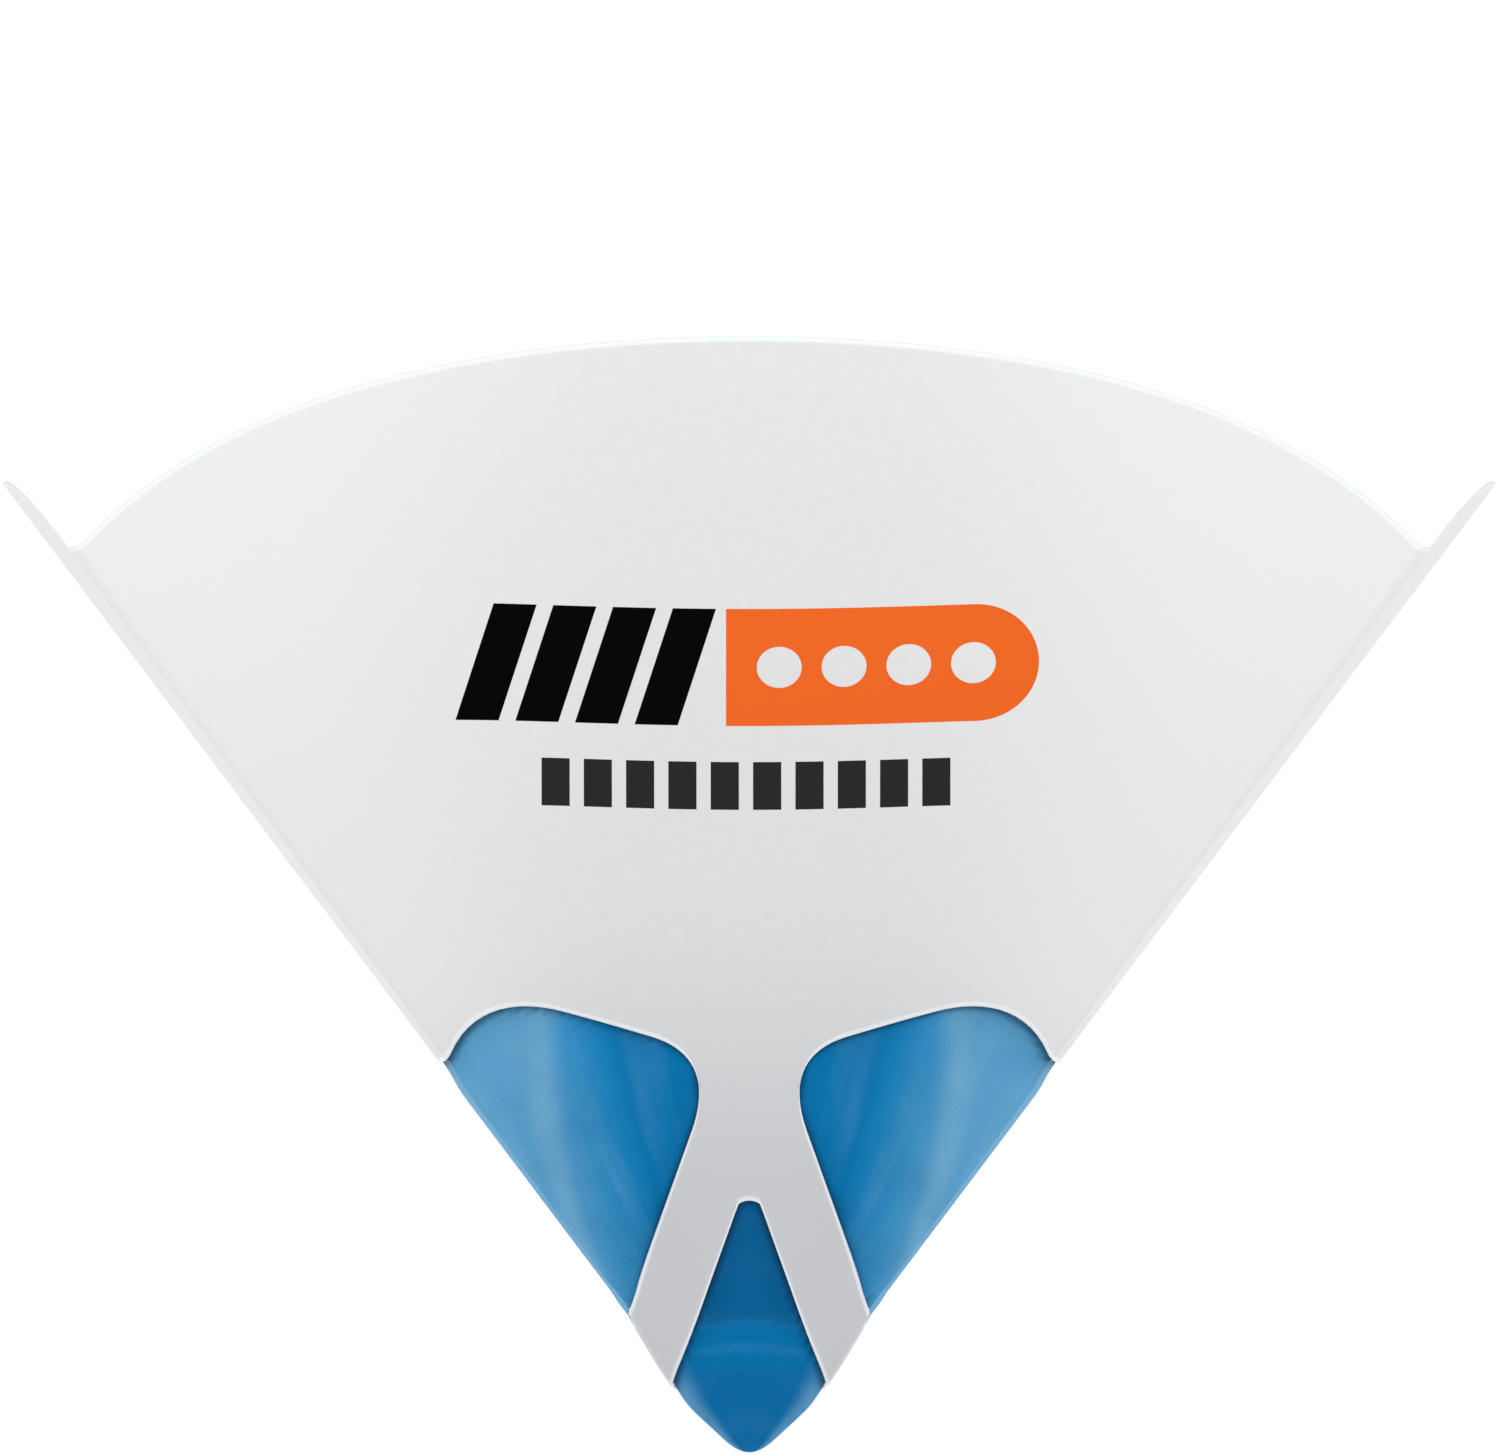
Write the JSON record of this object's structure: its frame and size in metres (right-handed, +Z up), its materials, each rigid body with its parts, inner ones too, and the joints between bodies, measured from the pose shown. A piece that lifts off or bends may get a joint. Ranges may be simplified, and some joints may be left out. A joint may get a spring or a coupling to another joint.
{
  "type": "paint strainer",
  "caption": "Folded paper cone with side windows and a fine nylon mesh glued inside, which strains paint poured in at the wide mouth.",
  "frame": {"origin": "on the surface that the strainer lies on, below the centre of its box", "axes": "+X to the right across the mouth, -Y towards the tip, +Z up, with the flat back panel down"},
  "size_m": [0.1808, 0.1478, 0.1195],
  "materials": {
    "card": "uncoated white filter card, matte, with pale cut edges",
    "nylon_mesh": "fine plain-woven blue nylon with a soft sheen"
  },
  "bodies": {
    "root": {"paper_cone": "card", "mesh_filter": "nylon_mesh"}
  },
  "joints": []
}
